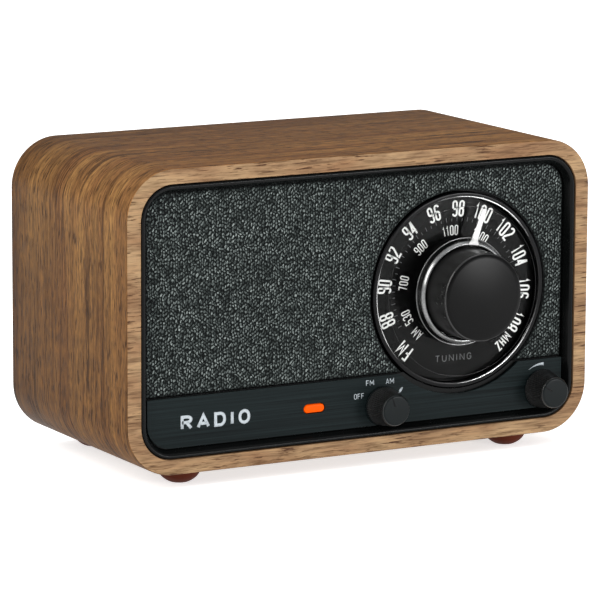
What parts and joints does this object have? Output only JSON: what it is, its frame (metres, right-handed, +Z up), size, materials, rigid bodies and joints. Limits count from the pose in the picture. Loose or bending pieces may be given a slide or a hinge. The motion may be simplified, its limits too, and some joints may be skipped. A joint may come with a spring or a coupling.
{
  "type": "tabletop radio",
  "caption": "Tabletop radio: wooden sleeve cabinet, cloth grille, round tuning dial with a clear pointer disc and large knob, selector and volume knobs, orange light, rubber feet.",
  "frame": {"origin": "on the surface that the radio stands on, under the middle of its whole box, knobs included", "axes": "+X to the listener's right as they face the dial, +Y to the back, +Z up; the front faces -Y"},
  "size_m": [0.19, 0.1086, 0.1145],
  "materials": {
    "walnut_veneer": "satin walnut veneer over board",
    "pine": "raw pine",
    "moulded_black": "glossy black moulding",
    "gloss_black": "glossy black rim",
    "dial_black": "satin black with white print",
    "brushed_black_metal": "brushed black anodised",
    "tweed_cloth": "dark grey tweed",
    "clear_acrylic": "clear, polished",
    "satin_black": "satin black",
    "orange_lens": "lit orange",
    "led_resin": "tinted resin",
    "brown_rubber": "matt reddish brown",
    "bright_steel": "plated",
    "brass": "turned",
    "nylon": "natural nylon",
    "black_plastic": "moulded black",
    "circuit_board": "green solder mask",
    "ferrite": "dark grey sintered",
    "copper_wire": "enamelled winding",
    "cone_paper": "black paper",
    "surround_rubber": "soft black"
  },
  "bodies": {
    "radio_body": {"cabinet": "walnut_veneer", "front_baffle": "moulded_black", "grille_board": "black_plastic", "grille_cloth": "tweed_cloth", "control_strip": "brushed_black_metal", "dial_housing": "gloss_black", "dial_plate": "dial_black", "tuning_bush": "brass", "tuning_nut": "brass", "tuning_capacitor": "nylon", "selector_switch": "black_plastic", "selector_nut": "brass", "volume_potentiometer": "bright_steel", "volume_nut": "brass", "led_lens": "orange_lens", "indicator_led": "led_resin", "speaker_basket": "bright_steel", "speaker_magnet": "ferrite", "speaker_yoke": "bright_steel", "speaker_surround": "surround_rubber", "tuner_board": "circuit_board", "ferrite_rod": "ferrite", "antenna_coil": "copper_wire", "ferrite_clip_left": "nylon", "ferrite_clip_right": "nylon", "rear_cover": "black_plastic", "batten_left": "pine", "batten_right": "pine", "jack_board": "circuit_board", "dc_inlet": "black_plastic", "aux_jack": "black_plastic", "antenna_terminal": "bright_steel", "speaker_screw_1": "bright_steel", "rear_screw_1": "bright_steel", "speaker_screw_2": "bright_steel", "rear_screw_2": "bright_steel", "speaker_screw_3": "bright_steel", "rear_screw_3": "bright_steel", "speaker_screw_4": "bright_steel", "rear_screw_4": "bright_steel", "board_screw_1": "bright_steel", "board_screw_2": "bright_steel", "board_screw_3": "bright_steel", "foot_front_left": "brown_rubber", "foot_front_right": "brown_rubber", "foot_rear_left": "brown_rubber", "foot_rear_right": "brown_rubber"},
    "tuning_dial": {"tuning_knob": "satin_black", "pointer_disc": "clear_acrylic", "tuning_shaft": "bright_steel", "tuning_pinion": "nylon"},
    "capacitor_rotor": {"capacitor_gear": "nylon", "capacitor_shaft": "bright_steel"},
    "selector": {"selector_knob": "satin_black", "selector_shaft": "bright_steel"},
    "volume": {"volume_knob": "satin_black", "volume_shaft": "bright_steel"},
    "moving_cone": {"speaker_cone": "cone_paper", "dust_cap": "cone_paper", "voice_coil": "copper_wire"}
  },
  "joints": [
    {"name": "tuning_spin", "type": "hinge", "parent": "radio_body", "child": "tuning_dial", "pos_m": [0.0418, -0.03965, 0.0612], "axis": [0, 1, 0], "range_deg": [-137, 103]},
    {"name": "capacitor_spin", "type": "hinge", "parent": "radio_body", "child": "capacitor_rotor", "pos_m": [0.0418, -0.02575, 0.0836], "axis": [0, 1, 0], "range_deg": [-78, 104]},
    {"name": "selector_turn", "type": "hinge", "parent": "radio_body", "child": "selector", "pos_m": [0.0096, -0.03965, 0.0216], "axis": [0, 1, 0], "range_deg": [-40, 80]},
    {"name": "volume_turn", "type": "hinge", "parent": "radio_body", "child": "volume", "pos_m": [0.0773, -0.03965, 0.0216], "axis": [0, 1, 0], "range_deg": [-150, 150]},
    {"name": "cone_travel", "type": "slide", "parent": "radio_body", "child": "moving_cone", "axis": [0, -1, 0], "range_m": [-0.0015, 0.0015], "stiffness_N_per_m": 1500}
  ],
  "couplings": [
    {"joint": "capacitor_spin", "follows": "tuning_spin", "ratio": -0.75}
  ]
}
